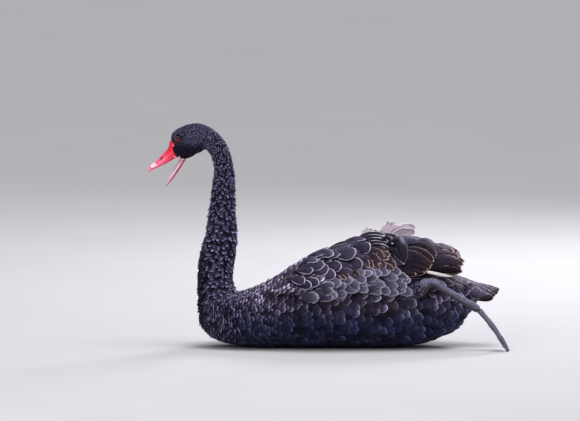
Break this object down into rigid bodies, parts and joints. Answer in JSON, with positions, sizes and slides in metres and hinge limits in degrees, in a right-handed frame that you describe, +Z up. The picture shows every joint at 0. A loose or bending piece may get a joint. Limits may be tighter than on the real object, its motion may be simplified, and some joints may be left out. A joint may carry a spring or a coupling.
{
  "type": "black swan",
  "caption": "Life-size still model of a swimming black swan, neck upright, red bill open, resting on its belly.",
  "frame": {"origin": "middle of the flat rest face under the belly, on the floor", "axes": "+X from the bill towards the tail, +Z up, the bird's left side towards -Y"},
  "size_m": [0.7231, 0.2682, 0.4483],
  "materials": {
    "body_plumage": "soft charcoal body feathers",
    "neck_plumage": "short dense feathers with a faint violet sheen",
    "wing_plumage": "smooth charcoal vanes with pale grey edges",
    "tail_plumage": "smooth charcoal vanes",
    "bill": "glossy red horn with a pale bar and nail",
    "mouth_skin": "wet pink skin",
    "eye": "wet and glossy, dark red",
    "leg_skin": "dark slate scaled skin"
  },
  "bodies": {
    "root": {"torso": "body_plumage", "neck_base": "neck_plumage", "neck_lower": "neck_plumage", "neck_middle": "neck_plumage", "neck_upper": "neck_plumage", "head": "neck_plumage", "bill_upper": "bill", "bill_lower": "bill", "tongue": "mouth_skin", "tail": "tail_plumage", "wing_left": "wing_plumage", "wing_right": "wing_plumage", "eye_left": "eye", "eye_right": "eye", "shank_left": "body_plumage", "shank_right": "body_plumage", "tarsus_left": "leg_skin", "tarsus_right": "leg_skin", "foot_left": "leg_skin", "foot_right": "leg_skin"}
  },
  "joints": []
}
